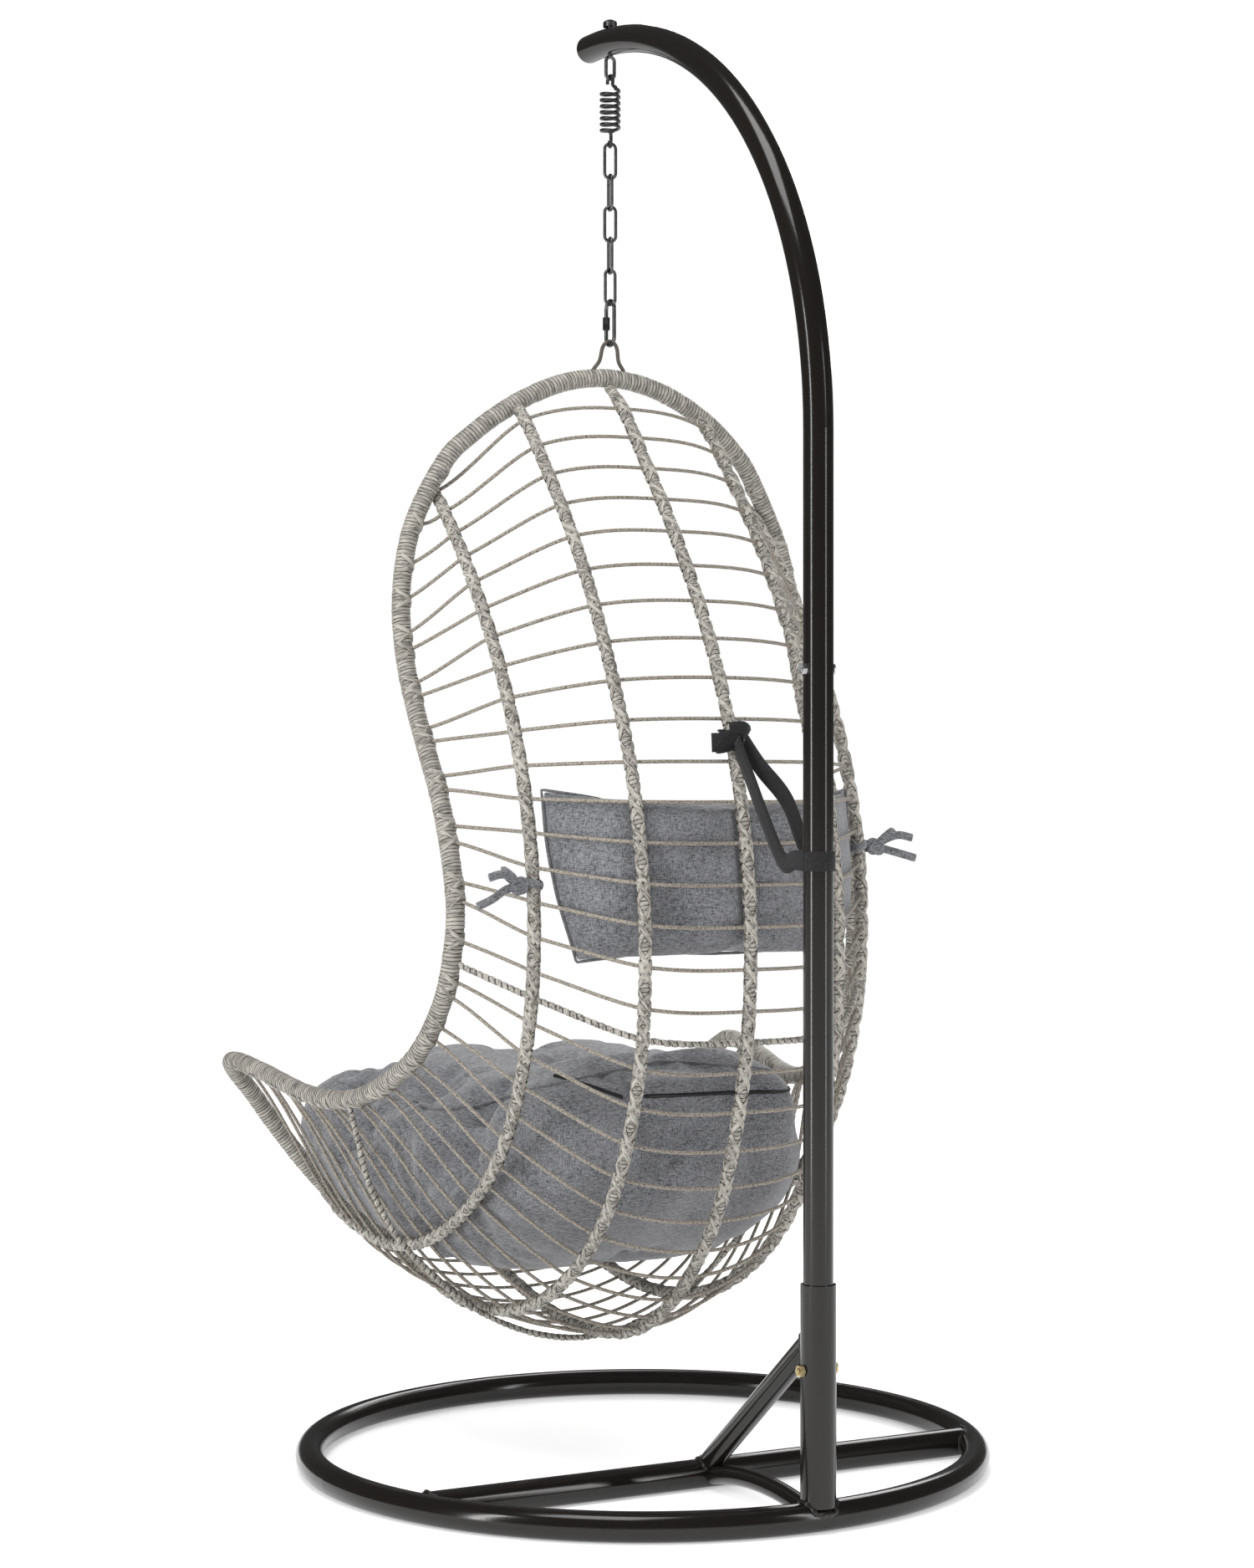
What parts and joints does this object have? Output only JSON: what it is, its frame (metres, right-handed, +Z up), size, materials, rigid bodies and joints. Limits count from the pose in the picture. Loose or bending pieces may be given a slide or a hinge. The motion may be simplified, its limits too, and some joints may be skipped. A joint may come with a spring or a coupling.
{
  "type": "hanging egg chair",
  "caption": "Hanging egg chair: woven open basket with seat and neck cushions, hung by spring and chain from a curved pole on a ring base.",
  "frame": {"origin": "centre of the base ring, on the floor", "axes": "+Z up, -Y towards the basket's open front, +X the sitter's left"},
  "size_m": [0.9499, 1.0406, 2.0019],
  "materials": {
    "black_paint": "glossy black powder coat",
    "zinc": "yellow zinc plate",
    "bright_steel": "bright zinc plate",
    "chain_steel": "dark zinc plate",
    "spring_steel": "black painted spring steel",
    "loop_paint": "grey paint",
    "wrapped_cane": "flat synthetic cane wrapped round steel tube",
    "strand_cane": "round synthetic cane over wire",
    "cushion_fabric": "grey melange woven polyester",
    "plug_plastic": "black",
    "webbing": "black woven webbing"
  },
  "bodies": {
    "stand": {"base_ring": "black_paint", "base_crossbar": "black_paint", "base_link_tube": "black_paint", "post_socket": "black_paint", "diagonal_brace": "black_paint", "lower_pole": "black_paint", "upper_arm": "black_paint", "arm_end_plug": "plug_plastic", "socket_bolt": "zinc", "socket_nut": "zinc", "joint_bolt": "bright_steel", "joint_nut": "bright_steel", "eye_bolt": "chain_steel", "eye_bolt_cap_nut": "chain_steel", "strap_pole_loop": "webbing", "strap_web": "webbing"},
    "spring": {"coil_spring": "spring_steel"},
    "link_1": {"chain_link_1": "chain_steel"},
    "link_2": {"chain_link_2": "chain_steel"},
    "link_3": {"chain_link_3": "chain_steel"},
    "link_4": {"chain_link_4": "chain_steel"},
    "link_5": {"chain_link_5": "chain_steel"},
    "screw_link": {"screw_link": "chain_steel"},
    "screw_link_nut": {"screw_link_nut": "chain_steel"},
    "basket": {"hanging_loop": "loop_paint", "basket_rim": "wrapped_cane", "rib_middle": "wrapped_cane", "rib_left_inner": "wrapped_cane", "rib_right_inner": "wrapped_cane", "rib_left_outer": "wrapped_cane", "rib_right_outer": "wrapped_cane", "seat_hoop": "wrapped_cane", "cradle_hoop": "wrapped_cane", "strands_left_back": "strand_cane", "strands_right_back": "strand_cane", "strands_left_side": "strand_cane", "strands_right_side": "strand_cane", "strands_left_wing": "strand_cane", "strands_right_wing": "strand_cane", "seat_cushion": "cushion_fabric", "neck_cushion": "cushion_fabric", "neck_cushion_ties": "cushion_fabric", "strap_rib_loop": "webbing"}
  },
  "joints": [
    {"name": "swing", "type": "hinge", "parent": "stand", "child": "spring", "pos_m": [0, -0.094, 1.9186], "axis": [1, 0, 0], "range_deg": [-5.5, 3.5], "deforming": ["strap_web"]},
    {"name": "spring_stretch", "type": "slide", "parent": "spring", "child": "link_1", "axis": [0, 0, 1], "range_m": [-0.025, 0], "stiffness_N_per_m": 20000, "springref_m": 0.012, "deforming": ["coil_spring"]},
    {"name": "link_2_lean", "type": "hinge", "parent": "link_1", "child": "link_2", "pos_m": [0, -0.094, 1.77895], "axis": [0.9397, -0.342, 0], "range_deg": [-5, 5]},
    {"name": "link_3_lean", "type": "hinge", "parent": "link_2", "child": "link_3", "pos_m": [0, -0.094, 1.73475], "axis": [0.1736, 0.9848, 0], "range_deg": [-5, 5]},
    {"name": "link_4_lean", "type": "hinge", "parent": "link_3", "child": "link_4", "pos_m": [0, -0.094, 1.69055], "axis": [0.9397, -0.342, 0], "range_deg": [-5, 5]},
    {"name": "link_5_lean", "type": "hinge", "parent": "link_4", "child": "link_5", "pos_m": [0, -0.094, 1.64635], "axis": [0.1736, 0.9848, 0], "range_deg": [-5, 5]},
    {"name": "screw_link_twist", "type": "hinge", "parent": "link_5", "child": "screw_link", "pos_m": [0, -0.094, 1.6102], "axis": [0, 0, 1], "range_deg": [-4, 4], "stiffness_Nm_per_rad": 2},
    {"name": "screw_link_nut_travel", "type": "slide", "parent": "screw_link", "child": "screw_link_nut", "axis": [0, 0, 1], "range_m": [0, 0.009]},
    {"name": "basket_rock", "type": "hinge", "parent": "screw_link", "child": "basket", "pos_m": [0, -0.094, 1.55075], "axis": [1, 0, 0], "range_deg": [-1, 1]}
  ],
  "couplings": [
    {"joint": "link_4_lean", "follows": "link_2_lean", "ratio": -1},
    {"joint": "link_5_lean", "follows": "link_3_lean", "ratio": -1}
  ]
}
